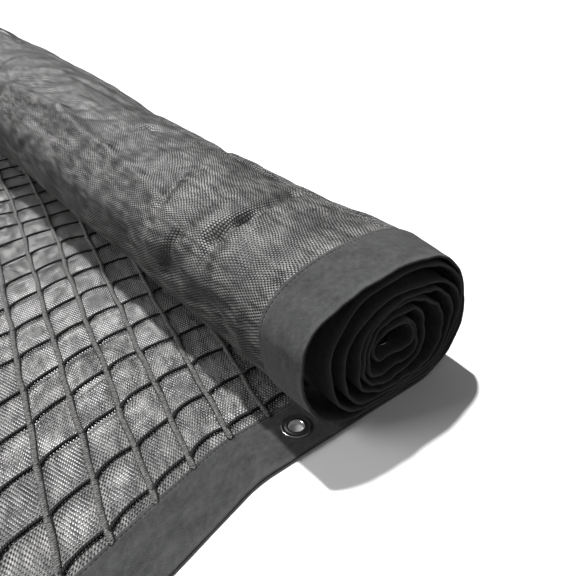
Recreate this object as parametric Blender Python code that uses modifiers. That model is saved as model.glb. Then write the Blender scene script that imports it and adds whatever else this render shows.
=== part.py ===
"""Scaffold debris netting: a 1.2 m wide length of black knitted mesh with a corded net on its inner
side, bound all round with folded tape, set with eyelets and rolled up from one end. The roll lies on
the ground and its loose end runs out flat to the left.

The plan is worked out in the cloth's own frame: x across the roll, 0 where the loose cloth goes under
it, y along the roll, 0 at the front hem, z up from the ground. Everything hangs on one empty that
moves the finished part so that its box stands on the origin.
"""

import bpy
import bmesh
import numpy as np
from mathutils import Vector

# Driving dimensions, in metres
CLOTH_WIDTH = 1.2
LOOSE_LENGTH = 0.36
BINDING_WIDTH = 0.05
BINDING_THICK = 0.0026
MESH_THICK = 0.0015
ROLLED_THICK = 0.0024
GAP = 0.0004

# The corded net: its cords and where the first of each set lies
CORD_WIDTH = 0.003
CORD_THICK = 0.0022
CORD_PITCH_ACROSS = 0.0375
CORD_PITCH_ALONG = 0.0435
FIRST_LENGTHWAYS_CORD = 0.036
FIRST_CROSS_CORD = 0.060

# How the loose end lies askew: its hem swings forward past a kink, its cords lean towards the roll
HEM_KINK = 0.055
HEM_KINK_EASE = 0.030
HEM_SKEW = 0.27
CORD_LEAN = 0.23
LEAN_STRAIGHT = 0.45

# Eyelets: a turned washer and barrel, closed over the tape
EYELET_RADIUS = 0.0125
EYELET_HOLE_RADIUS = 0.006
BARREL_RADIUS = 0.0075
WASHER_THICK = 0.0009
POCKET_DEPTH = 0.0012
EYELET_HEIGHT = 0.0039
EYELET_CLEARANCE = 0.0003
EYELET_INSET = 0.025
EYELET_FROM_ROLL = 0.0145

# The wound section at the front end, in millimetres, one row for each turn from the outside in. A
# turn lands on the one below at land_x, lies flat to leave_x, and then rounds these outermost points.
MM = 0.001
TURN_COLUMNS = ("bottom_z", "land_x", "leave_x", "right_x", "right_z", "top_x", "top_z", "left_x", "left_z")
TURNS = (
    (0.0, 0, 100, 156, 55, 68, 132, -30, 84),
    (3.3, 40, 102, 152, 58, 70, 125, -3, 74),
    (6.6, 50, 102, 148, 61, 68, 108, 11, 62),
    (9.9, 60, 98, 141, 56, 68, 99.5, 27, 57),
    (13.2, 68, 88, 129, 49, 66, 94, 31, 60),
    (23.5, 62, 88, 107, 54, 68, 88, 36.5, 60),
    (36.0, 58, 84, 98, 54, 68, 81, 43, 62),
    (50.0, 54, 82, 91, 61, 70, 75, None, None),
)
SQUARENESS = 2.25
OUTER_TURNS = 5
OUTER_STEPS = 4
INNER_STEPS = 3

# The roll swells towards the back: place along it, and the section's size there against the front
SWELL = ((0.0, 1.0), (0.05, 1.035), (0.25, 1.025), (0.37, 1.035), (0.53, 1.07), (0.72, 1.15), (0.90, 1.185), (1.2, 1.22))

# Cross sections of the rolled mesh, closer together at the front where its folds are
SECTIONS_ALONG = (0.095, 0.140, 0.190, 0.245, 0.310, 0.400, 0.520, 0.680, 0.880)

# Main folds of the outer turn: from one place to another (metres along the roll, degrees round it
# from the right), how far they sink in (a ridge is negative) and how broad they are, in metres
FOLD_COLUMNS = ("along", "round", "to_along", "to_round", "depth", "breadth")
FOLDS = {
    "diagonal fold by the band": (0.130, 85, 0.215, 150, 0.0042, 0.024),
    "bulge under the diagonal": (0.150, 130, 0.190, 165, -0.0045, 0.024),
    "dimple on the flank": (0.290, 140, 0.320, 165, 0.0050, 0.030),
    "long ridge": (0.330, 110, 0.700, 135, -0.0045, 0.035),
    "hollow beside the ridge": (0.560, 150, 0.700, 160, 0.0050, 0.045),
    "crumple near the back": (0.640, 95, 0.780, 110, 0.0045, 0.040),
}
ROUND_FROM = (0.061, 0.073)

# Low humps of the loose cloth: millimetres from the roll, along it, half lengths and height
HUMP_COLUMNS = ("out", "along", "half_out", "half_along", "height")
HUMPS = (
    (170, 190, 80, 70, 4.0),
    (115, 420, 60, 110, 3.0),
    (250, 560, 70, 140, 5.0),
    (240, 880, 60, 120, 4.0),
)

COLOURS = {
    "black knitted mesh": ((0.018, 0.018, 0.019), 0.55, 0.0),
    "black net cord": ((0.010, 0.010, 0.010), 0.45, 0.0),
    "charcoal binding tape": ((0.030, 0.030, 0.032), 0.85, 0.0),
    "plated eyelet": ((0.75, 0.75, 0.77), 0.25, 1.0),
}


def clear_scene():
    for thing in list(bpy.data.objects):
        bpy.data.objects.remove(thing)


def make_collection(name):
    collection = bpy.data.collections.new(name)
    bpy.context.scene.collection.children.link(collection)
    return collection


def make_material(name):
    colour, roughness, metallic = COLOURS[name]
    material = bpy.data.materials.new(name)
    material.use_nodes = True
    shader = material.node_tree.nodes["Principled BSDF"]
    shader.inputs["Base Color"].default_value = (*colour, 1.0)
    shader.inputs["Roughness"].default_value = roughness
    shader.inputs["Metallic"].default_value = metallic
    material.diffuse_color = (*colour, 1.0)
    return material


def smooth(share):
    """A smooth step from 0 to 1 as share goes from 0 to 1."""
    share = np.clip(share, 0.0, 1.0)
    return share * share * (3.0 - 2.0 * share)


# The loose end's plan


def lean(along):
    """Sideways drift of a lengthways cord: straight at first, then easing off to none at the back."""
    easing = np.maximum(along - LEAN_STRAIGHT, 0.0)
    span = CLOTH_WIDTH - LEAN_STRAIGHT
    return CORD_LEAN * (np.minimum(along, LEAN_STRAIGHT) + easing - easing**2 / (2.0 * span))


def hem_shift(x):
    """How far the cloth swings forward at x: none near the roll, then along a slope after the kink."""
    past = np.maximum(-x - HEM_KINK, 0.0)
    eased = past**2 / (2.0 * HEM_KINK_EASE)
    return -HEM_SKEW * np.where(past < HEM_KINK_EASE, eased, past - HEM_KINK_EASE / 2.0)


def plan(out, along):
    """Where cloth cut at out from the roll and along from the front hem lies on the ground."""
    x = lean(along) - out
    return x, along + hem_shift(x)


def cord_lines(first, pitch, low, high):
    count = int((high - low) / pitch) + 2
    lines = first + pitch * np.arange(-1, count)
    return lines[(lines < high - pitch / 4.0)]


MESH_OUT = (-0.002, LOOSE_LENGTH - BINDING_WIDTH - GAP)
MESH_ALONG = (BINDING_WIDTH + GAP, CLOTH_WIDTH - BINDING_WIDTH - GAP)
CORDS_OUT = cord_lines(FIRST_LENGTHWAYS_CORD, CORD_PITCH_ACROSS, *MESH_OUT)
CORDS_ALONG = cord_lines(FIRST_CROSS_CORD, CORD_PITCH_ALONG, *MESH_ALONG)
CORDS_ALONG = CORDS_ALONG[CORDS_ALONG > MESH_ALONG[0]]
GRID_OUT = np.append(CORDS_OUT, MESH_OUT[1])
GRID_ALONG = np.concatenate(([MESH_ALONG[0]], CORDS_ALONG, [MESH_ALONG[1]]))


def hump_height(out, along):
    """Height of the loose cloth's underside: round humps that die out at the bindings and the roll."""
    total = np.zeros(np.broadcast(out, along).shape)
    for row in HUMPS:
        hump = dict(zip(HUMP_COLUMNS, row))
        far = ((out - hump["out"] * MM) / (hump["half_out"] * MM)) ** 2
        far = far + ((along - hump["along"] * MM) / (hump["half_along"] * MM)) ** 2
        total = total + hump["height"] * MM * np.maximum(1.0 - far, 0.0) ** 2
    edge = np.minimum(along - MESH_ALONG[0], MESH_ALONG[1] - along)
    edge = np.minimum(edge, np.minimum(MESH_OUT[1] - out, out - lean(along)))
    return total * smooth((edge - 0.01) / 0.03)


def grid_height(out, along):
    """The same height read straight between the cloth's own grid points, so that cords lie on it."""
    heights = hump_height(GRID_OUT[:, None], GRID_ALONG[None, :])
    i = np.clip(np.searchsorted(GRID_OUT, out, side="right") - 1, 0, len(GRID_OUT) - 2)
    j = np.clip(np.searchsorted(GRID_ALONG, along, side="right") - 1, 0, len(GRID_ALONG) - 2)
    a = (out - GRID_OUT[i]) / (GRID_OUT[i + 1] - GRID_OUT[i])
    b = (along - GRID_ALONG[j]) / (GRID_ALONG[j + 1] - GRID_ALONG[j])
    near = heights[i, j] * (1.0 - a) + heights[i + 1, j] * a
    far = heights[i, j + 1] * (1.0 - a) + heights[i + 1, j + 1] * a
    return near * (1.0 - b) + far * b


# Building sheets


def sheet_mesh(across, along, place, flip):
    """An open grid whose point (i, j) goes to place(across[i], along[j]); flip turns its faces over."""
    bm = bmesh.new()
    bmesh.ops.create_grid(bm, x_segments=len(across) - 1, y_segments=len(along) - 1, size=1.0)
    for vertex in bm.verts:
        i = round((vertex.co.x + 1.0) / 2.0 * (len(across) - 1))
        j = round((vertex.co.y + 1.0) / 2.0 * (len(along) - 1))
        vertex.co = place(across[i], along[j])
    if flip:
        bmesh.ops.reverse_faces(bm, faces=bm.faces)
    return bm


def cut_at_roll(bm):
    """Takes away what would lie under the roll, which is wound from the same cloth."""
    everything = bm.verts[:] + bm.edges[:] + bm.faces[:]
    bmesh.ops.bisect_plane(
        bm, geom=everything, dist=1e-6, plane_co=(-GAP, 0, 0), plane_no=(1, 0, 0), clear_outer=True
    )


def keep_largest_piece(bm):
    """Drops cord ends that the roll's line has cut off from the rest of the net."""
    left = set(bm.verts)
    pieces = []
    while left:
        piece = {left.pop()}
        edge_of_piece = list(piece)
        while edge_of_piece:
            vertex = edge_of_piece.pop()
            for edge in vertex.link_edges:
                other = edge.other_vert(vertex)
                if other in left:
                    left.remove(other)
                    piece.add(other)
                    edge_of_piece.append(other)
        pieces.append(piece)
    largest = max(pieces, key=len)
    bmesh.ops.delete(bm, geom=[v for v in bm.verts if v not in largest], context="VERTS")


def solid_sheet(name, bm, thickness, offset, material, collection):
    """Gives an open sheet its thickness: offset 1 builds it up from the sheet, -1 down into it."""
    mesh = bpy.data.meshes.new(name)
    bm.to_mesh(mesh)
    bm.free()
    thing = bpy.data.objects.new(name, mesh)
    mesh.materials.append(material)
    collection.objects.link(thing)
    wall = thing.modifiers.new("thickness", "SOLIDIFY")
    wall.thickness = thickness
    wall.offset = offset
    wall.use_even_offset = True
    return thing


def loose_mesh(material, collection):
    def place(out, along):
        x, y = plan(out, along)
        return x, y, float(hump_height(out, along))

    bm = sheet_mesh(GRID_OUT, GRID_ALONG, place, flip=True)
    cut_at_roll(bm)
    return solid_sheet("loose_mesh", bm, MESH_THICK, 1.0, material, collection)


def loose_net(material, collection):
    """Square cords knotted at each crossing: a grid of strips with the faces of its gaps taken out."""
    half = CORD_WIDTH / 2.0
    out_edges = np.sort(np.concatenate((CORDS_OUT - half, CORDS_OUT + half, [MESH_OUT[1]])))
    along_edges = np.concatenate((CORDS_ALONG - half, CORDS_ALONG + half, GRID_ALONG[[0, -1]]))
    along_edges = np.sort(along_edges)

    def place(out, along):
        x, y = plan(out, along)
        lift = float(grid_height(np.float64(out), np.float64(along)))
        return x, y, lift + MESH_THICK + GAP

    columns = np.arange(len(out_edges))
    rows = np.arange(len(along_edges))
    bm = sheet_mesh(columns, rows, lambda i, j: (i, j, 0.0), flip=True)
    gaps = []
    for face in bm.faces:
        middle = face.calc_center_median()
        if int(middle.x) % 2 == 1 and int(middle.y) % 2 == 0:
            gaps.append(face)
    bmesh.ops.delete(bm, geom=gaps, context="FACES")
    for vertex in bm.verts:
        vertex.co = place(out_edges[round(vertex.co.x)], along_edges[round(vertex.co.y)])
    cut_at_roll(bm)
    keep_largest_piece(bm)
    return solid_sheet("loose_net", bm, CORD_THICK, 1.0, material, collection)


def loose_binding(name, across, along, material, collection):
    """A flat strip of folded tape along the cloth's edge, with the same grid points as the cloth."""
    def place(out, along):
        return (*plan(out, along), 0.0)

    bm = sheet_mesh(across, along, place, flip=True)
    cut_at_roll(bm)
    return solid_sheet(name, bm, BINDING_THICK, 1.0, material, collection)


# The wound cloth


def quarter(start, end, level_first, steps):
    """A quarter of a rounded square from start to end, leaving the first point level or upright."""
    t = np.linspace(0.0, np.pi / 2.0, steps + 1)[1:]
    slow = 1.0 - np.cos(t) ** (2.0 / SQUARENESS)
    fast = np.sin(t) ** (2.0 / SQUARENESS)
    share_x, share_z = (fast, slow) if level_first else (slow, fast)
    x = start[0] + (end[0] - start[0]) * share_x
    z = start[1] + (end[1] - start[1]) * share_z
    return list(zip(x, z))


def wound_line():
    """The outer line of the roll from the ground inwards, and how far each point is round it."""
    rows = [dict(zip(TURN_COLUMNS, row)) for row in TURNS]
    points = [(0.0, 0.0)]
    for number, turn in enumerate(rows):
        steps = OUTER_STEPS if number < OUTER_TURNS else INNER_STEPS
        right = (turn["right_x"], turn["right_z"])
        top = (turn["top_x"], turn["top_z"])
        points.append((turn["leave_x"], turn["bottom_z"]))
        points += quarter(points[-1], right, True, steps)
        points += quarter(right, top, False, steps)
        if turn["left_x"] is None:
            break
        left = (turn["left_x"], turn["left_z"])
        points += quarter(top, left, True, steps)
        landing = (rows[number + 1]["land_x"], rows[number + 1]["bottom_z"])
        points += quarter(left, landing, False, steps)
    return np.array(points) * MM


LINE = wound_line()
OUTER_TURN_POINTS = 1 + 4 * OUTER_STEPS
CORE_POINTS = 3 + 2 * INNER_STEPS
SWELL_FADE_POINTS = 30


def swell(number, along):
    """Size of the section at along against the front, for point number of the wound line. The core
    keeps one size all along, so the swelling fades out over the turns round it."""
    places, factors = zip(*SWELL)
    outside_core = len(LINE) - 1 - CORE_POINTS - number
    share = np.clip(outside_core / SWELL_FADE_POINTS, 0.0, 1.0)
    return 1.0 + (float(np.interp(along, places, factors)) - 1.0) * share


def fold_depth(number, along):
    """How far the folds push point number of the wound line inwards: the outer turn alone has them."""
    if not OUTER_STEPS < number <= OUTER_TURN_POINTS:
        return 0.0
    x, z = LINE[number] - ROUND_FROM
    angle = np.degrees(np.arctan2(z, x)) % 360.0
    radius = np.hypot(x, z)
    total = 0.0
    for row in FOLDS.values():
        fold = dict(zip(FOLD_COLUMNS, row))
        start = np.array([fold["along"], np.radians(fold["round"]) * radius])
        end = np.array([fold["to_along"], np.radians(fold["to_round"]) * radius])
        here = np.array([along, np.radians(angle) * radius])
        share = np.clip(np.dot(here - start, end - start) / np.dot(end - start, end - start), 0.0, 1.0)
        far = np.linalg.norm(here - start - share * (end - start))
        total += fold["depth"] * np.exp(-((far / fold["breadth"]) ** 2))
    ends = smooth((along - BINDING_WIDTH) / 0.05) * smooth((CLOTH_WIDTH - BINDING_WIDTH - along) / 0.2)
    return total * ends * smooth((OUTER_TURN_POINTS - number) / 3.0)


def wound_place(number, along):
    size = swell(number, along)
    x, z = LINE[number] * size
    inwards = np.array(ROUND_FROM) * size - (x, z)
    inwards = inwards / np.linalg.norm(inwards) * fold_depth(number, along)
    return x + inwards[0], along, z + inwards[1]


def wound_sheet(name, along, thickness, material, collection):
    bm = sheet_mesh(range(len(LINE)), along, wound_place, flip=True)
    return solid_sheet(name, bm, thickness, -1.0, material, collection)


# Eyelets


def turned(name, profile, collection, material=None, steps=16):
    """Turns a closed profile of (radius, height) round the vertical."""
    bm = bmesh.new()
    corners = [bm.verts.new((radius, 0.0, height)) for radius, height in profile]
    for first, second in zip(corners, corners[1:] + corners[:1]):
        if first.co.x > 0.0 or second.co.x > 0.0:
            bm.edges.new((first, second))
    mesh = bpy.data.meshes.new(name)
    bm.to_mesh(mesh)
    bm.free()
    thing = bpy.data.objects.new(name, mesh)
    if material:
        mesh.materials.append(material)
    collection.objects.link(thing)
    screw = thing.modifiers.new("turned", "SCREW")
    screw.steps = screw.render_steps = steps
    screw.use_merge_vertices = True
    screw.merge_threshold = 0.00001
    return thing


def eyelet(name, material, collection):
    """Washer below, barrel through the tape, and a rolled flange with a flat crown above."""
    crown = EYELET_RADIUS - 0.0015
    flange_low = BINDING_THICK + EYELET_CLEARANCE
    profile = (
        (EYELET_HOLE_RADIUS, EYELET_HEIGHT - 0.0004),
        (BARREL_RADIUS - 0.0005, EYELET_HEIGHT),
        (crown, EYELET_HEIGHT),
        (EYELET_RADIUS, flange_low + 0.0001),
        (BARREL_RADIUS, flange_low),
        (BARREL_RADIUS, WASHER_THICK),
        (EYELET_RADIUS, WASHER_THICK),
        (EYELET_RADIUS, 0.0),
        (EYELET_HOLE_RADIUS, 0.0),
    )
    return turned(name, profile, collection, material)


def cut_seat(strip, place, cutters):
    """Cuts the stepped hole that an eyelet sits in."""
    wide = EYELET_RADIUS + EYELET_CLEARANCE
    narrow = BARREL_RADIUS + EYELET_CLEARANCE
    profile = ((0.0, 0.006), (narrow, 0.006), (narrow, POCKET_DEPTH), (wide, POCKET_DEPTH),
               (wide, -0.002), (0.0, -0.002))
    cutter = turned(f"seat_{len(cutters.objects)}", profile, cutters)
    cutter.location = place
    cutter.display_type = "WIRE"
    cutter.hide_render = True
    hole = strip.modifiers.new("seat", "BOOLEAN")
    hole.operation = "DIFFERENCE"
    hole.object = cutter
    return cutter


def stand_on_origin(things, root):
    """Moves the whole part so that the bottom of its box is centred on the origin."""
    graph = bpy.context.evaluated_depsgraph_get()
    corners = np.array([
        thing.matrix_world @ Vector(corner)
        for thing in things
        for corner in thing.evaluated_get(graph).bound_box
    ])
    low = corners.min(axis=0)
    high = corners.max(axis=0)
    root.location = (-(low[0] + high[0]) / 2.0, -(low[1] + high[1]) / 2.0, -low[2])


def main():
    clear_scene()
    parts = make_collection("scaffold debris netting")
    cutters = make_collection("cutters")
    mesh, cord, tape, plate = (make_material(name) for name in COLOURS)

    back = CLOTH_WIDTH - BINDING_WIDTH
    rolled_along = (MESH_ALONG[0], *SECTIONS_ALONG, MESH_ALONG[1])
    wound_sheet("rolled_mesh", rolled_along, ROLLED_THICK, mesh, parts)
    rolled_tape = {
        "front": wound_sheet("binding_front_rolled", (0.0, BINDING_WIDTH), ROLLED_THICK, tape, parts),
        "back": wound_sheet("binding_back_rolled", (back, CLOTH_WIDTH), ROLLED_THICK, tape, parts),
    }
    loose_mesh(mesh, parts)
    loose_net(cord, parts)

    hem_points = np.append(GRID_OUT, LOOSE_LENGTH)
    strips = {
        "front": (hem_points, (0.0, BINDING_WIDTH)),
        "back": (hem_points, (back, CLOTH_WIDTH)),
        "end": ((LOOSE_LENGTH - BINDING_WIDTH, LOOSE_LENGTH), GRID_ALONG),
    }
    loose_tape = {
        side: loose_binding(f"binding_{side}_loose", *shape, tape, parts)
        for side, shape in strips.items()
    }

    near_corner = LOOSE_LENGTH - EYELET_INSET
    far_inset = CLOTH_WIDTH - EYELET_INSET
    seats = {
        "eyelet_front_roll": ("front", EYELET_FROM_ROLL + float(lean(EYELET_INSET)), EYELET_INSET),
        "eyelet_front_corner": ("front", near_corner, EYELET_INSET),
        "eyelet_back_roll": ("back", EYELET_FROM_ROLL + float(lean(far_inset)), far_inset),
        "eyelet_back_corner": ("back", near_corner, far_inset),
        "eyelet_end_middle": ("end", near_corner, CLOTH_WIDTH / 2.0),
    }
    for name, (side, out, along) in seats.items():
        x, y = plan(out, along)
        ring = eyelet(name, plate, parts)
        ring.location = (x, y, 0.0)
        cut_seat(loose_tape[side], ring.location, cutters)

    core = dict(zip(TURN_COLUMNS, TURNS[-1]))
    ring = eyelet("eyelet_core", plate, parts)
    core_x = (core["land_x"] + core["leave_x"]) / 2.0 * MM
    ring.location = (core_x, EYELET_INSET, core["bottom_z"] * MM)
    cut_seat(rolled_tape["front"], ring.location, cutters)

    root = bpy.data.objects.new("netting_stand", None)
    bpy.context.scene.collection.objects.link(root)
    bpy.context.view_layer.update()
    stand_on_origin(parts.objects, root)
    for thing in [*parts.objects, *cutters.objects]:
        thing.parent = root
    bpy.context.view_layer.update()


main()
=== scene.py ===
"""Looks of the rolled scaffold debris netting: black knitted mesh, corded net, felt tape and eyelets.

Places are worked out as the cloth lies: x across the roll, 0 where the loose cloth goes under it, y
along the roll, 0 at the front hem, z up. "round" is the length of cloth wound up, from x = 0 on.
"""

import bpy
import numpy as np
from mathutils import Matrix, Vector


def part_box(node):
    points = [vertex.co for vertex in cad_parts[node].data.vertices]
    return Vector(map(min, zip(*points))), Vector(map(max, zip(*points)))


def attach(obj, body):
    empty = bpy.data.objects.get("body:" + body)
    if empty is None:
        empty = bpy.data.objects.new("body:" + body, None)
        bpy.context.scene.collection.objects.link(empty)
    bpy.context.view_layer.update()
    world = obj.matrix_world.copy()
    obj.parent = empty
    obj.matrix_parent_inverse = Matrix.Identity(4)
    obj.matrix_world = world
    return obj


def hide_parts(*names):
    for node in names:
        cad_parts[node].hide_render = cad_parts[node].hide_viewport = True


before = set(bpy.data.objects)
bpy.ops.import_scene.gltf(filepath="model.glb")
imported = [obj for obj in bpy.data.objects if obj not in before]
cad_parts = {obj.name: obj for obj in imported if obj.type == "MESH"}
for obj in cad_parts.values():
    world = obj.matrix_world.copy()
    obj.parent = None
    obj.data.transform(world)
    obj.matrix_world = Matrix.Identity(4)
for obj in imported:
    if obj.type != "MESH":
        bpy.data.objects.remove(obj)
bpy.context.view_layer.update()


# The rolled panel: one 1.2 m length of fine black polymer mesh, warp knitted with small open holes and
# wound up by hand in eight turns. Handling has pressed folds and creases into its outer turn.

MM = 0.001
CORE_EYELET_PLACE = (0.068, 0.025)
low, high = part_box("eyelet_core")
CORNER = np.array(((low[0] + high[0]) / 2.0, (low[1] + high[1]) / 2.0, 0.0))
CORNER[:2] -= CORE_EYELET_PLACE

CLOTH_WIDTH = 1.2
TAPE_WIDTH = 0.05
TUCK = 0.004

# Each turn in millimetres: it lands at land_x, leaves at leave_x and rounds these outermost points
TURN_COLUMNS = ("bottom_z", "land_x", "leave_x", "right_x", "right_z", "top_x", "top_z", "left_x", "left_z")
TURNS = (
    (0.0, 0, 100, 156, 55, 68, 132, -30, 84),
    (3.3, 40, 102, 152, 58, 70, 125, -3, 74),
    (6.6, 50, 102, 148, 61, 68, 108, 11, 62),
    (9.9, 60, 98, 141, 56, 68, 99.5, 27, 57),
    (13.2, 68, 88, 129, 49, 66, 94, 31, 60),
    (23.5, 62, 88, 107, 54, 68, 88, 36.5, 60),
    (36.0, 58, 84, 98, 54, 68, 81, 43, 62),
    (50.0, 54, 82, 91, 61, 70, 75, None, None),
)
SQUARENESS = 2.25
OUTER_TURNS = 5
OUTER_STEPS = 4
INNER_STEPS = 3
FIRST_TURN_PLACES = 17
LAST_PLACE = 118
CORE_PLACES = 9
SWELL_FADE_PLACES = 30
SWELL = ((0.0, 1.0), (0.05, 1.035), (0.25, 1.025), (0.37, 1.035), (0.53, 1.07), (0.72, 1.15), (0.90, 1.185),
         (1.2, 1.22))

# Folds of the outer turn: from one place to another (metres along, metres round), how far the cloth
# sinks in and over what breadth, in millimetres (a ridge is negative), and the lip on one side
FOLDS = (
    # the deep fold round the girth by the tape, with a bulge on its near side
    (0.154, 0.300, 0.140, 0.364, 5.0, 8.0, 0.6), (0.140, 0.364, 0.144, 0.392, 5.5, 9.0, 0.7),
    (0.144, 0.392, 0.136, 0.420, 4.5, 8.0, 0.6), (0.126, 0.372, 0.120, 0.402, -4.0, 12.0, 0.0),
    (0.180, 0.345, 0.168, 0.395, -3.0, 14.0, 0.0),
    # the dimple and pocket on the flank
    (0.188, 0.412, 0.196, 0.452, 5.5, 9.0, -0.7), (0.164, 0.424, 0.174, 0.446, 3.5, 9.0, 0.0),
    (0.212, 0.400, 0.216, 0.440, -3.5, 10.0, 0.0), (0.150, 0.440, 0.160, 0.470, -2.5, 9.0, 0.0),
    # the small crease beyond it and the light ridge beside that
    (0.262, 0.354, 0.234, 0.396, 2.8, 6.0, 0.9), (0.250, 0.340, 0.222, 0.398, -2.6, 6.0, 0.0),
    # the long ridge, running on to the far end
    (0.246, 0.396, 0.388, 0.384, -3.2, 9.0, 0.8), (0.388, 0.384, 0.476, 0.382, -3.6, 9.0, 0.8),
    (0.476, 0.382, 0.548, 0.375, -3.6, 10.0, 0.7), (0.548, 0.375, 0.704, 0.390, -3.8, 11.0, 0.8),
    # dimples under the ridge
    (0.558, 0.405, 0.490, 0.404, 4.0, 9.0, -0.5), (0.568, 0.440, 0.542, 0.420, 3.0, 7.0, 0.4),
    (0.372, 0.412, 0.330, 0.418, 2.4, 9.0, 0.3), (0.440, 0.425, 0.410, 0.440, -2.2, 11.0, 0.0),
    (0.300, 0.425, 0.270, 0.450, 2.2, 10.0, 0.4), (0.640, 0.410, 0.610, 0.430, 2.8, 10.0, 0.4),
    # the crumpled patch near the far end
    (0.714, 0.359, 0.660, 0.330, 3.2, 6.0, 1.0), (0.690, 0.372, 0.640, 0.352, 2.6, 5.0, -0.9),
    (0.640, 0.365, 0.610, 0.335, 3.0, 6.0, 0.9), (0.604, 0.361, 0.560, 0.345, 2.4, 5.0, 0.9),
    (0.590, 0.335, 0.540, 0.330, -2.2, 6.0, 0.7), (0.560, 0.362, 0.520, 0.350, 2.0, 5.0, -0.8),
    (0.740, 0.330, 0.700, 0.310, -2.6, 8.0, 0.6), (0.760, 0.380, 0.730, 0.352, 2.6, 7.0, 0.8),
    (0.500, 0.359, 0.470, 0.340, 1.6, 5.0, 0.8), (0.672, 0.345, 0.655, 0.312, -2.0, 5.0, 0.5),
    (0.830, 0.350, 0.780, 0.395, 3.4, 12.0, 0.6), (0.940, 0.300, 0.880, 0.390, -3.4, 14.0, 0.6),
    (1.040, 0.330, 1.000, 0.420, 3.2, 13.0, 0.6),
    # arcs over the top
    (0.658, 0.307, 0.600, 0.298, 2.2, 6.0, 0.8), (0.600, 0.298, 0.522, 0.291, 2.0, 6.0, 0.8),
    (0.422, 0.335, 0.414, 0.313, 2.4, 6.0, 0.8), (0.414, 0.313, 0.384, 0.295, 2.4, 6.0, 0.8),
    (0.340, 0.330, 0.322, 0.290, 1.6, 8.0, 0.6), (0.300, 0.372, 0.275, 0.330, 1.4, 8.0, 0.6),
    # soft folds down the flank by the tape and a light crease
    (0.124, 0.424, 0.104, 0.466, 1.8, 7.0, 0.8), (0.074, 0.433, 0.078, 0.480, -1.6, 5.0, 0.7),
    (0.092, 0.392, 0.090, 0.440, 1.3, 6.0, 0.5), (0.086, 0.330, 0.104, 0.300, 1.4, 7.0, 0.6),
    # the hidden right side
    (0.210, 0.170, 0.250, 0.235, 3.2, 12.0, 0.6), (0.420, 0.240, 0.500, 0.180, 3.4, 13.0, 0.6),
    (0.620, 0.160, 0.660, 0.230, -3.0, 13.0, 0.6), (0.800, 0.235, 0.900, 0.190, 3.6, 14.0, 0.6),
    (1.000, 0.170, 1.060, 0.240, 3.0, 13.0, 0.6), (0.330, 0.250, 0.300, 0.280, 1.8, 8.0, 0.6),
)
# Slow waves of the slack cloth: metres along and round for one wave, where it starts, and height in mm
WAVES = (
    (0.310, 0.420, 0.4, 0.9), (0.170, -0.260, 1.7, 0.7), (0.094, 0.190, 2.9, 0.45),
    (0.061, -0.130, 0.8, 0.30), (0.043, 0.088, 4.1, 0.22), (0.029, -0.300, 2.2, 0.14),
    (0.210, 0.067, 5.0, 0.30),
)


class Value:
    """A number or colour socket of a paint, so that sums of sockets read as plain arithmetic."""

    def __init__(self, paint, socket):
        self.paint = paint
        self.socket = socket

    def math(self, operation, *others):
        sockets = dict(enumerate((self, *others)))
        return self.paint.node("ShaderNodeMath", {"operation": operation}, sockets, 0)

    def __add__(self, other):
        return self.math("ADD", other)

    def __radd__(self, other):
        return self.math("ADD", other)

    def __sub__(self, other):
        return self.math("SUBTRACT", other)

    def __rsub__(self, other):
        return (self * -1.0) + other

    def __mul__(self, other):
        return self.math("MULTIPLY", other)

    def __rmul__(self, other):
        return self.math("MULTIPLY", other)

    def wave(self, length):
        """The cosine of this value, one full turn for each length."""
        return (self * (2.0 * np.pi / length)).math("COSINE")

    def ramp(self, start, end):
        """A smooth step: 0 below start and 1 above end (the other way round if end is the smaller)."""
        sockets = {"Value": self, "From Min": start, "From Max": end}
        return self.paint.node(
            "ShaderNodeMapRange", {"interpolation_type": "SMOOTHSTEP"}, sockets, "Result"
        )


def put(socket, value):
    """Links a Value to the socket, or sets a plain number or colour on it."""
    if isinstance(value, Value):
        value.paint.tree.links.new(value.socket, socket)
    else:
        socket.default_value = value


class Paint:
    """A new material with its Principled shader, and the few kinds of node that are asked of it."""

    def __init__(self, name, roughness, **constants):
        self.material = bpy.data.materials.new(name)
        self.material.use_nodes = True
        self.tree = self.material.node_tree
        self.shader = self.tree.nodes["Principled BSDF"]
        self.set("Roughness", roughness)
        for key, value in constants.items():
            self.set(key.replace("_", " "), value)

    def set(self, name, value):
        put(self.shader.inputs[name], value)

    def node(self, kind, settings, sockets, output):
        """Adds any node: its kind, its settings, the values of its inputs and the output used."""
        made = self.tree.nodes.new(kind)
        for name, value in settings.items():
            setattr(made, name, value)
        for name, value in sockets.items():
            put(made.inputs[name], value)
        return Value(self, made.outputs[output])

    def cloth(self):
        """The piece's cloth coordinates in metres: across (or round the roll) and along."""
        place = self.node("ShaderNodeUVMap", {"uv_map": "cloth"}, {}, "UV")
        parts = [self.node("ShaderNodeSeparateXYZ", {}, {0: place}, axis) for axis in ("X", "Y")]
        return place, *parts

    def noise(self, place, size, detail=2.0, stretch=(1.0, 1.0, 1.0)):
        """Noise from 0 to 1 with spots of about the given size, in metres, at the given place."""
        scaled = self.node("ShaderNodeMapping", {}, {"Vector": place, "Scale": stretch}, "Vector")
        sockets = {"Vector": scaled, "Scale": 1.0 / size, "Detail": detail}
        return self.node("ShaderNodeTexNoise", {}, sockets, "Fac")

    def mix(self, share, first, second):
        """A colour between first and second."""
        sockets = {0: share, 6: first, 7: second}
        return self.node("ShaderNodeMix", {"data_type": "RGBA"}, sockets, 2)

    def bump(self, height, distance, strength):
        """Raises and sinks the surface by the height, over the given distance in metres."""
        sockets = {"Height": height, "Distance": distance, "Strength": strength}
        self.set("Normal", self.node("ShaderNodeBump", {}, sockets, "Normal"))


def grey(value, warmth=0.0):
    """A near-neutral grey with a little more red than blue for warmth above 0."""
    return (value * (1.0 + warmth), value, value * (1.0 - warmth), 1.0)


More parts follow.
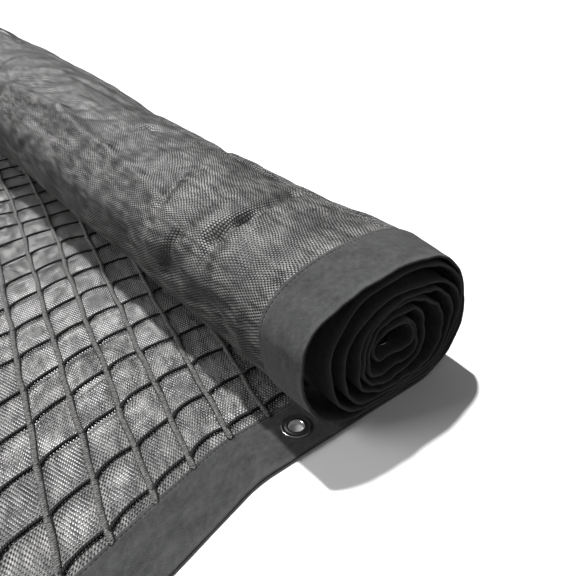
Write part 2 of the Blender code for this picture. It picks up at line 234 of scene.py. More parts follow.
def smooth(share):
    """A smooth step: three times the square of share less twice its cube, held between 0 and 1."""
    share = np.clip(share, 0.0, 1.0)
    return share * share * (3.0 - 2.0 * share)


def wound_line(fine_step, coarse_step):
    """The roll's outer line from the ground inwards, in rows of x, z and places passed. Straight along
    the bottom, then quarters of a rounded square: one coordinate goes as the sine to the power
    2 / SQUARENESS, the other as 1 less the cosine to that power."""
    rows = [dict(zip(TURN_COLUMNS, row)) for row in TURNS]
    line = [np.zeros((1, 3))]

    def go(x, z, form, places):
        start = line[-1][-1]
        reach = np.hypot(x * MM - start[0], z * MM - start[1]) * 1.1
        step = fine_step if start[2] < FIRST_TURN_PLACES else coarse_step
        t = np.linspace(0.0, 1.0, max(int(reach / step), 3) + 1)[1:]
        slow = 1.0 - np.abs(np.cos(t * np.pi / 2.0)) ** (2.0 / SQUARENESS)
        fast = np.sin(t * np.pi / 2.0) ** (2.0 / SQUARENESS)
        share_x, share_z = {"straight": (t, t), "level": (fast, slow), "upright": (slow, fast)}[form]
        path = (start[0] + (x * MM - start[0]) * share_x, start[1] + (z * MM - start[1]) * share_z)
        line.append(np.stack((*path, start[2] + places * t), axis=1))

    for number, turn in enumerate(rows):
        steps = OUTER_STEPS if number < OUTER_TURNS else INNER_STEPS
        go(turn["leave_x"], turn["bottom_z"], "straight", 1)
        go(turn["right_x"], turn["right_z"], "level", steps)
        go(turn["top_x"], turn["top_z"], "upright", steps)
        if turn["left_x"] is not None:
            go(turn["left_x"], turn["left_z"], "level", steps)
            go(rows[number + 1]["land_x"], rows[number + 1]["bottom_z"], "upright", steps)
    return np.concatenate(line)


LIP_GAIN = 1.6


def creases(rows, along, around):
    """How far folds push the cloth in. Each is a straight line, and its depth falls off as e to minus
    the square of the distance over the breadth, leaning to one side by the lip."""
    total = np.zeros(np.broadcast(along, around).shape)
    for row in rows:
        start, end = np.array(row[:2]), np.array(row[2:4])
        depth, breadth, lip = row[4] * MM, row[5] * MM, row[6]
        run = end - start
        share = ((along - start[0]) * run[0] + (around - start[1]) * run[1]) / (run @ run)
        share = np.clip(share, 0.0, 1.0)
        off_along = along - start[0] - share * run[0]
        off_around = around - start[1] - share * run[1]
        side = (off_along * run[1] - off_around * run[0]) / np.sqrt(run @ run) / breadth
        far = (off_along**2 + off_around**2) / breadth**2
        total = total + depth * np.exp(-far) * (1.0 + LIP_GAIN * lip * side)
    return total


def waves(rows, along, around):
    """A sum of slow sine waves over the cloth, in metres."""
    total = np.zeros(np.broadcast(along, around).shape)
    for long_along, long_around, start, height in rows:
        turn = along / long_along + around / long_around
        total = total + height * MM * np.sin(2.0 * np.pi * turn + start)
    return total


def around_of(line):
    """The length of cloth wound up at each place of the line."""
    return np.concatenate(([0.0], np.cumsum(np.hypot(*np.diff(line[:, :2], axis=0).T))))


def wound_points(line, along, inwards):
    """Points of wound cloth for each row of along and each place of the line: the line, swollen
    towards the back, and moved by inwards along its left normal, which points into the roll."""
    outside_core = LAST_PLACE - CORE_PLACES - line[:, 2]
    share = np.clip(outside_core / SWELL_FADE_PLACES, 0.0, 1.0)
    along = np.broadcast_to(along, np.broadcast(along, inwards, line[None, :, 0]).shape)
    size = 1.0 + (np.interp(along, *zip(*SWELL)) - 1.0) * share[None, :]
    slope = np.gradient(line[:, :2], axis=0)
    slope = slope / np.linalg.norm(slope, axis=1, keepdims=True)
    x = line[None, :, 0] * size - slope[None, :, 1] * inwards
    z = line[None, :, 1] * size + slope[None, :, 0] * inwards
    return np.stack((x, along, z), axis=-1)


def grid_piece(name, points, cloth, material, closed=False, holes=()):
    """A grid of points as one smooth surface that faces the way of its rows crossed with its columns.
    closed joins the last column to the first; holes are places round which faces are left out."""
    rows, columns = points.shape[:2]
    number = np.arange(rows * columns).reshape(rows, columns)
    if closed:
        number = np.concatenate((number, number[:, :1]), axis=1)
        cloth = np.concatenate((cloth, cloth[:, :1] + (cloth[:, 1:2] - cloth[:, :1]) * columns), axis=1)
    spot = np.arange(cloth.shape[0] * cloth.shape[1]).reshape(cloth.shape[:2])
    corners = [grid[a, b] for grid in (number, spot) for a, b in (
        (slice(0, -1), slice(0, -1)), (slice(1, None), slice(0, -1)),
        (slice(1, None), slice(1, None)), (slice(0, -1), slice(1, None)))]
    faces = np.stack(corners[:4], axis=-1).reshape(-1, 4)
    spots = np.stack(corners[4:], axis=-1).reshape(-1, 4)
    flat = points.reshape(-1, 3)
    middle = flat[faces].mean(axis=1)
    keep = np.ones(len(faces), bool)
    for place, radius in holes:
        keep &= np.linalg.norm(middle - place, axis=1) > radius
    faces, spots = faces[keep], spots[keep]
    mesh = bpy.data.meshes.new(name)
    mesh.from_pydata((flat + CORNER).tolist(), [], faces.tolist())
    layer = mesh.uv_layers.new(name="cloth")
    layer.data.foreach_set("uv", cloth.reshape(-1, 2)[spots.ravel()].astype(np.float32).ravel())
    mesh.polygons.foreach_set("use_smooth", np.ones(len(faces), bool))
    mesh.materials.append(material)
    piece = bpy.data.objects.new(name, mesh)
    bpy.context.scene.collection.objects.link(piece)
    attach(piece, "root")
    return piece


KNIT_ACROSS = 0.0028
KNIT_ALONG = 0.0048
KNIT_DRIFT = 0.0018


def knitted(name, light, hole_share):
    """Warp-knitted mesh: the product of two cosines gives threads where it is low and holes, set in
    diagonal order, where it is high. Holes are see-through; the threads are glossy flat tapes of black
    polymer, painted light grey up to light as a painted sheen. Patches of painted sheen vary the threads,
    and so do streaks that are partly painted sheen and partly wear."""
    paint = Paint(name, 0.45, Specular_IOR_Level=0.6)
    place, across, along = paint.cloth()
    drift = paint.noise(place, 0.012, 3.0) - 0.5
    slow_drift = paint.noise(place, 0.07, 1.0) - 0.5
    a = (across + drift * KNIT_DRIFT + slow_drift * 0.006).wave(KNIT_ACROSS)
    b = (along + drift * (KNIT_DRIFT * 1.7) + slow_drift * 0.008).wave(KNIT_ALONG)
    knit = a * b
    rows = (along + drift * KNIT_DRIFT + slow_drift * 0.008).wave(KNIT_ALONG / 2.0)
    sheen_patch = paint.noise(place, 0.035, 3.0)
    streak = paint.noise(place, 0.006, 2.0, (1.0, 0.25, 1.0))
    # painted sheen: the black threads are painted light, in sheen patches and streaks
    thread_sheen = knit.ramp(0.30, -0.50) * streak.ramp(0.25, 0.75) * (sheen_patch.ramp(0.3, 0.7) * 0.75 + 0.25)
    colour = paint.mix(thread_sheen, grey(0.008), grey(light, 0.02))
    paint.set("Base Color", colour)
    hole = knit.ramp(0.25, 0.50) * hole_share
    paint.set("Alpha", 1.0 - hole)
    paint.bump(knit * -0.35 + rows * 0.2 + streak * 0.4, 0.0006, 0.8)
    return paint.material


# Fine steps on the outer turn and in the near half, where the photo shows the cloth, coarser elsewhere
OUTER_STEP, INNER_STEP = 0.0033, 0.012
NEAR_END, NEAR_ROWS, FAR_ROWS = 0.56, 156, 104
MESH_DEPTH, SLACK_DEPTH = 0.0013, 0.0006
# The outer turn is free from where it leaves the ground until it goes under; these are in places
FREE_FROM, FREE_OVER = 2.5, 2.0
HELD_BEFORE, HELD_OVER = 0.3, 2.5
TAPE_EASE = 0.02
roll_line = wound_line(OUTER_STEP, INNER_STEP)
roll_round = around_of(roll_line)
near = np.linspace(TAPE_WIDTH - TUCK, NEAR_END, NEAR_ROWS)
far = np.linspace(NEAR_END, CLOTH_WIDTH - TAPE_WIDTH + TUCK, FAR_ROWS)[1:]
roll_along = np.concatenate((near, far))[:, None]
outer = smooth((roll_line[:, 2] - FREE_FROM) / FREE_OVER)
outer = outer * smooth((FIRST_TURN_PLACES - HELD_BEFORE - roll_line[:, 2]) / HELD_OVER)
ends = smooth((roll_along - TAPE_WIDTH) / TAPE_EASE)
ends = ends * smooth((CLOTH_WIDTH - TAPE_WIDTH - roll_along) / TAPE_EASE)
sink = creases(FOLDS, roll_along, roll_round[None, :]) + waves(WAVES, roll_along, roll_round[None, :])
sink = MESH_DEPTH + (sink + SLACK_DEPTH) * outer[None, :] * ends
roll_points = wound_points(roll_line, roll_along, sink)
roll_cloth = np.stack(np.broadcast_arrays(roll_round[None, :], roll_along), axis=-1)
rolled_knit = knitted("rolled knitted mesh", 0.34, 0.85)
rolled = grid_piece("rolled_panel", roll_points, roll_cloth, rolled_knit)
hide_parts("rolled_mesh")


# The loose panel: the same mesh lying on the ground, pulled askew. It puffs up a little in every cell
# of the net that is sewn over it, and the net's cords press ladder-like rows into it.

LOOSE_LENGTH = 0.36
SKEW_KINK, SKEW_EASE, SKEW = 0.055, 0.030, 0.27
LEAN, LEAN_STRAIGHT = 0.23, 0.45
FIRST_LENGTHWAYS, PITCH_ACROSS = 0.036, 0.0375
FIRST_CROSS, PITCH_ALONG = 0.060, 0.0435
# Low humps in millimetres: from the roll, along it, half lengths and height
HUMPS = (
    (170, 190, 80, 70, 4.0), (115, 420, 60, 110, 3.0), (250, 560, 70, 140, 5.0), (240, 880, 60, 120, 4.0),
)
# Creases across cells: from and to (metres along, metres out), depth and breadth in mm, and lip
CELL_CREASES = (
    (0.080, 0.060, 0.120, 0.096, 1.2, 2.5, 0.6), (0.130, 0.100, 0.170, 0.080, 1.0, 2.5, 0.6),
    (0.070, 0.150, 0.092, 0.190, 1.2, 2.5, 0.6), (0.200, 0.120, 0.240, 0.150, 1.2, 2.5, -0.6),
    (0.110, 0.200, 0.150, 0.215, 1.1, 2.2, 0.6), (0.260, 0.180, 0.300, 0.210, 1.2, 2.5, 0.6),
    (0.330, 0.140, 0.370, 0.160, 1.2, 2.5, -0.6), (0.180, 0.240, 0.210, 0.280, 1.2, 2.5, 0.6),
    (0.420, 0.200, 0.460, 0.230, 1.2, 2.5, 0.6), (0.520, 0.240, 0.560, 0.210, 1.2, 2.5, 0.6),
    (0.640, 0.250, 0.700, 0.280, 1.2, 3.0, 0.6), (0.820, 0.230, 0.870, 0.260, 1.2, 3.0, 0.6),
)


def lean(along):
    """Sideways drift of the lengthways cords: straight at first, then eased off by a square."""
    past = np.maximum(along - LEAN_STRAIGHT, 0.0)
    easing = past - past**2 / (2.0 * (CLOTH_WIDTH - LEAN_STRAIGHT))
    return LEAN * (np.minimum(along, LEAN_STRAIGHT) + easing)


def plan(out, along):
    """Where cloth that was cut at (out, along) lies: leaning cords, and a hem that swings forward
    past its kink, first by a square and then in a straight line."""
    x = lean(along) - out
    past = np.maximum(-x - SKEW_KINK, 0.0)
    eased = np.where(past < SKEW_EASE, past**2 / (2.0 * SKEW_EASE), past - SKEW_EASE / 2.0)
    return x, along - SKEW * eased


def hump_height(out, along):
    """Round humps, each the square of 1 less the squared distance, dying out towards the edges."""
    total = np.zeros(np.broadcast(out, along).shape)
    for at_out, at_along, half_out, half_along, height in HUMPS:
        distance = ((out - at_out * MM) / (half_out * MM)) ** 2
        distance = distance + ((along - at_along * MM) / (half_along * MM)) ** 2
        total = total + height * MM * np.maximum(1.0 - distance, 0.0) ** 2
    edge = np.minimum(along - TAPE_WIDTH, CLOTH_WIDTH - TAPE_WIDTH - along)
    edge = np.minimum(edge, np.minimum(LOOSE_LENGTH - TAPE_WIDTH - out, out - lean(along)))
    return total * smooth((edge - 0.01) / 0.03)


# Puffs of the cells: their rise, how uneven it is, small ripples on them and their fading at edges
PUFF, PUFF_UNEVEN = 0.0016, 0.5
RIPPLE, RIPPLE_ALONG, RIPPLE_OUT, RIPPLE_BEAT = 0.00035, 0.0135, 0.051, 0.083
PUFF_EDGE = 0.012


def puff_height(out, along):
    """The cloth's rise in each cell: a product of two squared sines, uneven from cell to cell, with
    creases and small ripples, and nothing at the cords or the tapes."""
    across_cell = (out - FIRST_LENGTHWAYS) / PITCH_ACROSS
    along_cell = (along - FIRST_CROSS) / PITCH_ALONG
    bulge = np.abs(np.sin(np.pi * across_cell) * np.sin(np.pi * along_cell)) ** 0.9
    uneven = 1.0 + PUFF_UNEVEN * np.sin(2.1 * np.floor(across_cell) + 4.7 * np.floor(along_cell))
    ripple = np.sin(2.0 * np.pi * (along / RIPPLE_ALONG + out / RIPPLE_OUT))
    ripple = ripple * np.sin(2.0 * np.pi * out / RIPPLE_BEAT)
    rise = bulge * (PUFF * uneven + RIPPLE * ripple) - creases(CELL_CREASES, along, out) * bulge
    edge = np.minimum(along - TAPE_WIDTH, CLOTH_WIDTH - TAPE_WIDTH - along)
    edge = np.minimum(edge, np.minimum(LOOSE_LENGTH - TAPE_WIDTH - out, out - lean(along) + 0.02))
    return np.maximum(rise, 0.0) * smooth(edge / PUFF_EDGE)


LOOSE_ROWS, LOOSE_COLUMNS = 420, 118
UNDERSIDE = 0.0010
loose_along = np.linspace(TAPE_WIDTH - TUCK, CLOTH_WIDTH - TAPE_WIDTH + TUCK, LOOSE_ROWS)[:, None]
loose_share = np.linspace(0.0, 1.0, LOOSE_COLUMNS)[None, :]
loose_end = LOOSE_LENGTH - TAPE_WIDTH + TUCK
loose_out = lean(loose_along) + (loose_end - lean(loose_along)) * loose_share
loose_x, loose_y = plan(loose_out, loose_along)
loose_z = UNDERSIDE + hump_height(loose_out, loose_along) + puff_height(loose_out, loose_along)
loose_points = np.stack((loose_x, loose_y, loose_z), axis=-1)
loose_cloth = np.stack(np.broadcast_arrays(loose_out, loose_along), axis=-1)
loose_knit = knitted("loose knitted mesh", 0.42, 1.0)
loose = grid_piece("loose_panel", loose_points, loose_cloth, loose_knit)
loose_area = float(np.trapz(loose_end - lean(loose_along[:, 0]), loose_along[:, 0]))
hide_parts("loose_mesh")


# The corded net: black polymer cords about 3 mm thick, sewn over the inner side of the mesh. Cords that
# run across hook round the lengthways ones at each crossing, under a narrow strip of knitted loops.

NET_LIFT = 0.0030
CORD_STEP = 0.0022
STRIP_STEP = 0.0025
CROSS_RADIUS = 0.0014
HOOK_REACH = 0.0042
HOOK_BEND = 0.0038
STRIP_HALF_WIDTH = 0.0023
STRIP_HALF_HEIGHT = 0.0010
EDGE_RADIUS = 0.0013
UNDER_ROLL = 0.028
# The cross cords' bow and slack in a cell, and how much and how far they thicken after a crossing
BOW, SLACK, SWAY = 0.0016, 0.0008, 0.0009
THICKENING, THICK_REACH = 0.45, 0.006
# The cord at a strip's edge: how far it reaches before a crossing, and how thin it is beyond
EDGE_REACH, EDGE_REACH_VARIES = 0.020, 0.006
EDGE_THIN, EDGE_THICK = 0.30, 0.85
CORD_SIDES = 8


def lay(out, along, lift):
    """Points on the loose cloth: its plan, and its humps with a lift above them."""
    x, y = plan(out, along)
    return np.stack((x, y, hump_height(out, along) + lift), axis=-1)


def tube(points, half_width, half_height):
    """Points and cloth coordinates of an oval tube along a path: a level half width to the side of the
    path times the cosine, and a half height upwards times the sine. Its ends close to a point."""
    run = np.gradient(points, axis=0)
    side = np.stack((-run[:, 1], run[:, 0], np.zeros(len(run))), axis=-1)
    side = side / np.linalg.norm(side, axis=1, keepdims=True)
    turn = np.arange(CORD_SIDES) * 2.0 * np.pi / CORD_SIDES
    fade = np.ones(len(points))
    fade[[0, -1]] = 0.02
    wide = (np.broadcast_to(half_width, len(points)) * fade)[:, None, None]
    tall = (np.broadcast_to(half_height, len(points)) * fade)[:, None, None]
    ring = points[:, None, :] + side[:, None, :] * np.cos(turn)[None, :, None] * wide
    ring = ring + np.array((0.0, 0.0, 1.0)) * np.sin(turn)[None, :, None] * tall
    length = np.concatenate(([0.0], np.cumsum(np.linalg.norm(np.diff(points, axis=0), axis=1))))
    cloth = np.stack(np.broadcast_arrays(turn[None, :] * 0.0015, length[:, None]), axis=-1)
    return ring, cloth


def joined(name, parts, material):
    """Several tubes as one piece."""
    pieces = [grid_piece(name, ring, cloth, material, closed=True) for ring, cloth in parts]
    with bpy.context.temp_override(active_object=pieces[0], selected_editable_objects=pieces):
        bpy.ops.object.join()
    return pieces[0]


def wobble(turn, height):
    """A small sum of two sines of a count, so that no two cells are the same."""
    return height * (np.sin(1.7 * turn + 0.6) + 0.6 * np.sin(4.3 * turn + 2.0))


cross_cords, edge_cords, strips = [], [], []
cross_lines = np.arange(FIRST_CROSS, CLOTH_WIDTH - TAPE_WIDTH - 0.005, PITCH_ALONG)
length_lines = FIRST_LENGTHWAYS + PITCH_ACROSS * np.arange(-1, 8)
for row, line in enumerate(cross_lines):
    start_out = LOOSE_LENGTH - TAPE_WIDTH + TUCK
    stop_out = lean(line) - UNDER_ROLL
    t = np.linspace(start_out, stop_out, int((start_out - stop_out) / CORD_STEP))
    # past is how far the cord has run to the right of the last lengthways line
    past = (length_lines[0] - t) % PITCH_ACROSS
    cell = np.floor((length_lines[0] - t) / PITCH_ACROSS)
    hook = HOOK_REACH * np.exp(-((past / HOOK_BEND) ** 1.3)) * (1.0 - smooth(1.0 - past / 0.001))
    slack = wobble(row + 2.3 * cell, SLACK) * np.sin(np.pi * past / PITCH_ACROSS)
    bow = BOW * np.sin(np.pi * past / PITCH_ACROSS)
    places = lay(t, line - hook + slack + bow + wobble(row + 0.37 * t / PITCH_ACROSS, SWAY), NET_LIFT)
    thick = CROSS_RADIUS * (1.0 + THICKENING * np.exp(-((past / THICK_REACH) ** 2)))
    cross_cords.append(tube(places, thick, thick * 0.9))
for column, line in enumerate(length_lines):
    steps = np.arange(TAPE_WIDTH - TUCK, CLOTH_WIDTH - TAPE_WIDTH + TUCK, STRIP_STEP)
    steps = steps[lean(steps) - line < UNDER_ROLL]
    sway = wobble(1.9 * column + steps / PITCH_ALONG * 1.3, 0.0007)
    # before is how far this place is in front of the next cross cord, where the hook comes down
    before = (FIRST_CROSS - steps) % PITCH_ALONG
    cell = np.floor((FIRST_CROSS - steps) / PITCH_ALONG)
    reach = EDGE_REACH + wobble(column * 2.1 + cell, EDGE_REACH_VARIES)
    edge = EDGE_RADIUS * (EDGE_THIN + EDGE_THICK * smooth(1.0 - before / reach))
    strip_places = lay(line + sway, steps, NET_LIFT + 0.0006)
    edge_places = lay(line + sway - STRIP_HALF_WIDTH - 0.0002, steps, NET_LIFT - 0.0004)
    strips.append(tube(strip_places, STRIP_HALF_WIDTH, STRIP_HALF_HEIGHT))
    edge_cords.append(tube(edge_places, edge, edge))

cord_paint = Paint("black net cord", 0.6, Specular_IOR_Level=0.25)
place, turned_by, length = cord_paint.cloth()
twist = (length + turned_by * 0.9).wave(0.0022)
fuzz = cord_paint.noise(place, 0.0016, 3.0)
cord_paint.set("Base Color", cord_paint.mix(fuzz * (twist * 0.3 + 0.7), grey(0.002), grey(0.012)))
cord_paint.bump(twist + fuzz, 0.0003, 0.7)
net = joined("net_cords", cross_cords + edge_cords, cord_paint.material)
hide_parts("loose_net")

strip_paint = Paint("knitted strip over the cords", 0.5, Specular_IOR_Level=0.6)
place, turned_by, length = strip_paint.cloth()
loops = length.wave(0.0021) * turned_by.wave(0.0024)
speck = strip_paint.noise(place, 0.0022, 3.0)
# painted sheen: the black knitted loops are painted mid-grey, like the mesh threads
shade = (loops * 0.25 + 0.45) * speck.ramp(0.25, 0.75) * 1.5
strip_paint.set("Base Color", strip_paint.mix(shade.math("MINIMUM", 1.0), grey(0.010), grey(0.24, 0.02)))
strip_paint.bump(loops + speck, 0.0005, 0.8)
strip = joined("net_strips", strips, strip_paint.material)


# The binding tape: charcoal felt-like tape, folded over every edge of the cloth and stitched through
# near its inner edges. It is wound up with the cloth, where its folded rim shows as a spiral.

TAPE_THICK = 0.0026
RIM_RADIUS = TAPE_THICK / 2.0
STITCH_INSET = 0.0035
STITCH_LENGTH = 0.0040
FELT_SPOTS = (0.018, 0.0045, 0.0011)
FELT_WEAVE = 0.0011
HOLE_RADIUS = 0.0082
EYELET_INSET = 0.025
# Puckers of the wound rim: metres round for one wave, where it starts, and height in mm
RIM_WAVES = ((0.047, 0.3, 0.8), (0.021, 2.0, 0.5), (0.0125, 4.0, 0.25), (0.110, 1.1, 1.0), (0.300, 2.6, 1.2))


def folded_profile(outer_steps):
    """The folded tape's section: down one side from its inner edge, round the rim in a half circle and
    back, in rows of distance from the rim and depth. Both inner edges are turned in slightly."""
    flat = np.linspace(TAPE_WIDTH, RIM_RADIUS, outer_steps)
    turn = np.linspace(0.0, np.pi, 7)[1:-1]
    distance = np.concatenate((flat, RIM_RADIUS * (1.0 - np.sin(turn)), flat[::-1]))
    depth = np.concatenate((flat * 0.0, RIM_RADIUS * (1.0 - np.cos(turn)), flat * 0.0 + TAPE_THICK))
    for spot in (0, -1):
        distance[spot] += 0.0003
        depth[spot] += 0.0006 if spot == 0 else -0.0006
    return distance[:, None], depth[:, None]


def tape_length(distance, depth):
    """How far across the tape each row of the section is, from one inner edge to the other."""
    steps = np.hypot(np.diff(distance[:, 0]), np.diff(depth[:, 0]))
    return np.concatenate(([0.0], np.cumsum(steps)))[:, None]


def felt(name, light):
    """Felt-like tape: mottled in three sizes of noise, with a fine weave and a stitched line where the
    distance from an inner edge is the stitch inset. A painted highlight lightens the tape along its
    folded rim, and painted shade darkens the stitched groove."""
    paint = Paint(name, 0.9, Specular_IOR_Level=0.3, Sheen_Weight=0.12, Sheen_Roughness=0.5)
    place, run, across = paint.cloth()
    coarse = paint.noise(place, FELT_SPOTS[0], 3.0, (1.0, 1.6, 1.0))
    middle = paint.noise(place, FELT_SPOTS[1], 3.0)
    fine = paint.noise(place, FELT_SPOTS[2], 2.0)
    weave = run.wave(FELT_WEAVE) * across.wave(FELT_WEAVE)
    from_edge = (across - TAPE_WIDTH).math("ABSOLUTE") * -1.0 + TAPE_WIDTH
    seam = (from_edge - STITCH_INSET).math("ABSOLUTE").ramp(0.0011, 0.0002)
    stitch = seam * run.wave(STITCH_LENGTH).ramp(-0.5, 0.1)
    # painted highlight: the tape is lighter along its folded rim, where the fold catches light
    rim_highlight = (across - TAPE_WIDTH).math("ABSOLUTE").ramp(0.006, 0.001)
    tone = coarse * 0.55 + middle * 0.5 + fine * 0.35 - 0.2 + weave * 0.06 + rim_highlight * 0.22
    # painted shade: the stitched groove is painted darker
    tone = tone - seam * 0.25 + stitch * 0.3
    colour = paint.mix(tone.ramp(0.05, 1.0), grey(light * 0.35, -0.01), grey(light * 1.7, -0.01))
    paint.set("Base Color", colour)
    height = coarse * 1.2 + middle * 0.9 + fine * 0.35 + weave * 0.15 - seam * 1.4 + stitch * 0.9
    paint.bump(height, 0.0011, 0.75)
    return paint.material


TAPE_OUTER_STEP, TAPE_INNER_STEP = 0.003, 0.0035
RIM_REACH = 0.030
CORE_FROM, CORE_OVER = 40.0, 30.0
PUSH_OUTSIDE, PUSH_IN_CORE = 0.30, 0.75
SLIDE, SLIDE_WAVE = 0.0016, 0.41
QUICK_SLIDE, QUICK_SLIDE_TURNS = 0.0007, 110.0
WAVES_SHARE = 0.35
tape_line = wound_line(TAPE_OUTER_STEP, TAPE_INNER_STEP)
tape_round = around_of(tape_line)
# painted sheen: the wound tape is painted lighter than the flat tape, for the brighter light on the roll's
# turns
wound_felt = felt("wound binding tape", 0.050)
core_eyelet = np.array((*CORE_EYELET_PLACE, 0.0506))
for end, piece_name in (("front", "wound_front_tape"), ("back", "wound_back_tape")):
    distance, depth = folded_profile(14)
    rim_share = smooth(1.0 - distance / RIM_REACH)
    calm = smooth((tape_line[:, 2] - 1.0) / 2.0)[None, :]
    pucker = sum(
        height * MM * np.sin(2.0 * np.pi * tape_round / wave + start) for wave, start, height in RIM_WAVES
    )
    in_core = smooth((tape_line[:, 2] - CORE_FROM) / CORE_OVER)[None, :]
    push = pucker[None, :] * rim_share * calm * (PUSH_OUTSIDE + PUSH_IN_CORE * in_core)
    slide = SLIDE * np.sin(2.0 * np.pi * tape_round / SLIDE_WAVE + 0.7)
    slide = slide + QUICK_SLIDE * np.sin(tape_round * QUICK_SLIDE_TURNS)
    inwards = depth + push + waves(WAVES, distance * 2.0, tape_round[None, :]) * WAVES_SHARE * calm
    rim_from = distance + np.abs(slide)[None, :] * rim_share * calm
    along_tape = rim_from if end == "front" else CLOTH_WIDTH - rim_from
    points = wound_points(tape_line, along_tape, inwards)
    points[..., 2] = np.maximum(points[..., 2], 0.0)
    cloth = np.stack(np.broadcast_arrays(tape_round[None, :], tape_length(distance, depth)), axis=-1)
    if end == "front":
        points, cloth = points[::-1], cloth[::-1]
    holes = [(core_eyelet, HOLE_RADIUS)] if end == "front" else []
    wound_tape = grid_piece(piece_name, points, cloth, wound_felt, holes=holes)
    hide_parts(f"binding_{end}_rolled")


# The loose tapes: the same folded tape along the front hem, the back hem and the cut end, lying flat on
# the ground with shallow creases where the hem was pulled, and pierced for the eyelets.

# Creases of the front hem: metres from the rim and out for both ends, depth and breadth in mm, and lip
HEM_CREASES = (
    (0.048, 0.060, 0.030, 0.108, 0.9, 3.0, 0.8), (0.030, 0.108, 0.012, 0.122, 0.9, 3.0, 0.8),
    (0.040, 0.170, 0.010, 0.190, 0.8, 4.0, 0.8), (0.004, 0.020, 0.004, 0.200, -0.5, 3.0, 0.5),
    (0.044, 0.230, 0.020, 0.262, 0.8, 4.0, -0.8), (0.020, 0.062, 0.004, 0.076, 0.9, 4.0, 0.7),
)
# the same tape as the wound one, painted darker; the difference between them is painted light
flat_felt = felt("flat binding tape", 0.040)
eyelet_places = []
for node in ("front_roll", "front_corner", "back_roll", "back_corner", "end_middle"):
    low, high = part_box(f"eyelet_{node}")
    centre = np.array(((low[0] + high[0]) / 2.0, (low[1] + high[1]) / 2.0, 0.0)) - CORNER
    eyelet_places.append(centre)

for end, piece_name in (("front", "front_hem_tape"), ("back", "back_hem_tape"), ("end", "cut_end_tape")):
    distance, depth = folded_profile(20)
    share = np.linspace(0.0, 1.0, 150 if end == "front" else 90)[None, :]
    if end == "end":
        share = np.linspace(0.0, 1.0, 420)[None, :]
        along = TAPE_WIDTH - 0.001 + (CLOTH_WIDTH - 2.0 * TAPE_WIDTH + 0.002) * share
        out = LOOSE_LENGTH - distance
        run = along
    else:
        along = distance if end == "front" else CLOTH_WIDTH - distance
        out = lean(along) + (LOOSE_LENGTH - lean(along)) * share
        run = out
    x, y = plan(out, along)
    rise = TAPE_THICK - depth
    top = smooth(rise / TAPE_THICK)
    swelling = waves(WAVES, distance * 3.0, run * 1.7) * WAVES_SHARE - creases(HEM_CREASES, distance, run)
    near_eyelet = np.min([np.hypot(x - spot[0], y - spot[1]) for spot in eyelet_places], axis=0)
    swelling = np.maximum(swelling, -0.0004) * smooth((near_eyelet - 0.012) / 0.012)
    z = np.broadcast_to(rise, x.shape) + swelling * top
    points = np.stack((x, y, z), axis=-1)
    cloth = np.stack(np.broadcast_arrays(run, tape_length(distance, depth)), axis=-1)
    if end != "back":
        points, cloth = points[::-1], cloth[::-1]
    layers = ((0.0, 0.0, 0.0), (0.0, 0.0, TAPE_THICK))
    holes = [(spot + layer, HOLE_RADIUS) for spot in eyelet_places for layer in layers]
    hem = grid_piece(piece_name, points, cloth, flat_felt, holes=holes)
    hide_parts(f"binding_{end}_loose")
    tape_run = LOOSE_LENGTH - float(lean(EYELET_INSET if end == "front" else CLOTH_WIDTH - EYELET_INSET))
    if end == "end":
        tape_run = CLOTH_WIDTH - 2.0 * TAPE_WIDTH


# The eyelets: bright nickel-plated brass, spun to a rolled outer rim, a shallow groove and a rounded
# throat, and closed over a plain washer under the tape.

EYELET_SIDES = 64
# The turned section in mm, radius and height, from the throat's foot over the flange to the washer
EYELET_SECTION = (
    (6.1, 0.0), (6.0, 1.0), (6.0, 2.2), (6.15, 3.0), (6.5, 3.55), (7.1, 3.85), (7.8, 3.9),
    (8.5, 3.75), (9.2, 3.45), (9.9, 3.3), (10.5, 3.4), (11.1, 3.7), (11.7, 3.8), (12.2, 3.6),
    (12.5, 3.25), (12.5, 2.95), (12.2, 2.8), (11.0, 2.9), (7.6, 2.9), (7.5, 2.4), (7.5, 1.3),
    (7.6, 0.9), (12.0, 0.9), (12.4, 0.7), (12.5, 0.4), (12.3, 0.1), (12.0, 0.0),
)
plate = Paint("plated eyelet", 0.18, Metallic=1.0)
place, turned_by, height = plate.cloth()
scuffs = plate.noise(place, 0.0012, 3.0, (1.0, 6.0, 1.0))
stain = plate.noise(place, 0.006, 2.0)
plate.set("Base Color", plate.mix(stain, grey(0.62, 0.01), grey(0.86, 0.01)))
plate.set("Roughness", scuffs * 0.16 + 0.12)
plate.bump(scuffs, 0.00008, 0.4)
turn = np.linspace(0.0, 2.0 * np.pi, EYELET_SIDES, endpoint=False)[:, None]
radius, rise = (np.array(EYELET_SECTION) * MM).T
ring = np.stack(np.broadcast_arrays(radius * np.cos(turn), radius * np.sin(turn), rise), axis=-1)
for node in ("front_roll", "front_corner", "back_roll", "back_corner", "end_middle", "core"):
    low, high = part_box(f"eyelet_{node}")
    centre = np.array(((low[0] + high[0]) / 2.0, (low[1] + high[1]) / 2.0, low[2])) - CORNER
    section = np.concatenate((ring, ring[:, :1]), axis=1)
    points = np.concatenate((section, section[:1])).transpose(1, 0, 2) + centre
    cloth = np.stack(np.broadcast_arrays(
        np.linspace(0.0, 0.075, EYELET_SIDES + 1)[None, :],
        np.linspace(0.0, 0.030, len(radius) + 1)[:, None]), axis=-1)
    eyelet = grid_piece(f"plated_eyelet_{node}", points, cloth, plate.material)
    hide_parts(f"eyelet_{node}")


# The floor, light and camera: a pale floor, a strong high light from behind the roll with a soft one
# from the left, and the camera above the front left corner, looking 32 degrees down along the roll.

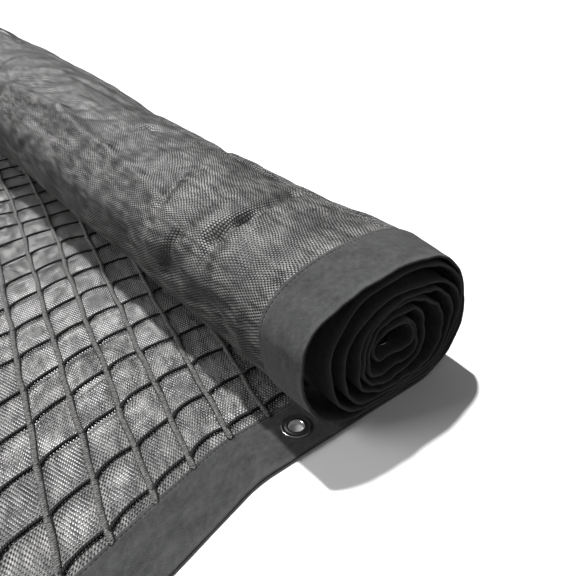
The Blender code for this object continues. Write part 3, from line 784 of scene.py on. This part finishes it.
FLOOR = 12.0
FLOOR_DROP = 0.0008
FLOOR_CORNERS = ((-FLOOR, -FLOOR, 0.0), (FLOOR, -FLOOR, 0.0), (FLOOR, FLOOR, 0.0), (-FLOOR, FLOOR, 0.0))
floor_mesh = bpy.data.meshes.new("pale_floor")
floor_mesh.from_pydata(FLOOR_CORNERS, [], [(0, 1, 2, 3)])
floor = bpy.data.objects.new("pale_floor", floor_mesh)
floor.location.z = -FLOOR_DROP
bpy.context.scene.collection.objects.link(floor)
floor_paint = Paint("pale_floor", 0.9)
floor_paint.set("Base Color", grey(0.9))
floor_mesh.materials.append(floor_paint.material)
# the photo shows the netting cut out on white, with no light thrown back on to its end
floor.visible_diffuse = False
floor.visible_glossy = False


def lamp(name, kind, energy, towards, **settings):
    """A light that shines from the direction of towards."""
    data = bpy.data.lights.new(name, kind)
    data.energy = energy
    for key, value in settings.items():
        setattr(data, key, value)
    light = bpy.data.objects.new(name, data)
    light.location = towards
    light.rotation_euler = (-towards).to_track_quat("-Z", "Y").to_euler()
    bpy.context.scene.collection.objects.link(light)


lamp("key_light", "SUN", 5.0, Vector((0.15, 1.2, 2.9)), angle=0.05)
lamp("left_light", "AREA", 70.0, Vector((-2.4, 0.9, 1.5)), size=1.6)
world = bpy.data.worlds.new("studio")
bpy.context.scene.world = world
world.use_nodes = True
backdrop = world.node_tree.nodes["Background"]
backdrop.inputs["Color"].default_value = grey(1.0)
backdrop.inputs["Strength"].default_value = 0.18

CAMERA_PLACE = (-0.2385, -0.2414, 0.3508)
CAMERA_TURN = (58.0, 0.0, -39.0)
SENSOR_WIDTH, LENS = 36.0, 37.5
camera_data = bpy.data.cameras.new("camera")
camera_data.sensor_width = SENSOR_WIDTH
camera_data.lens = LENS
camera = bpy.data.objects.new("camera", camera_data)
camera.location = CORNER + CAMERA_PLACE
camera.rotation_euler = np.radians(CAMERA_TURN)
bpy.context.scene.collection.objects.link(camera)
bpy.context.scene.camera = camera
bpy.context.scene.view_settings.view_transform = "Standard"
